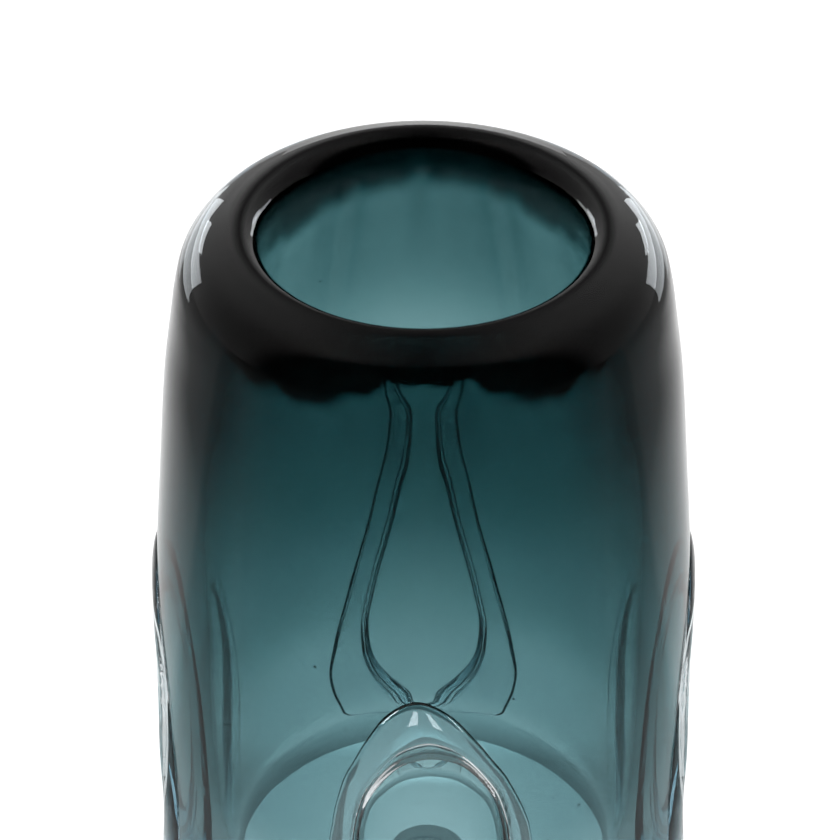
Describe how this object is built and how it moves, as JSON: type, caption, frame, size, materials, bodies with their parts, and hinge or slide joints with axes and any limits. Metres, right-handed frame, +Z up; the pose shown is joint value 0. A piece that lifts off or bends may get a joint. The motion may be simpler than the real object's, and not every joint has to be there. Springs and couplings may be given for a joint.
{
  "type": "vase",
  "caption": "Tall blown vase in thick clear glass over a dark teal lining, with a rounded in-turned lip and clear loops drawn round scooped windows.",
  "frame": {"origin": "centre of the ground base, on the surface the vase stands on", "axes": "+Z up along the vase's axis, -Y towards the loop that faces the viewer, +X to the viewer's right"},
  "size_m": [0.166, 0.166, 0.25],
  "materials": {
    "teal_glass": "fire polished, near black where it is thick at the lip, pale where it is thin",
    "clear_glass": "fire polished, water clear, ground and polished underneath",
    "loop_glass": "fire polished, water clear"
  },
  "bodies": {
    "root": {"colour_core": "teal_glass", "clear_casing": "clear_glass", "loop_front": "loop_glass", "loop_right": "loop_glass", "loop_back": "loop_glass", "loop_left": "loop_glass"}
  },
  "joints": []
}
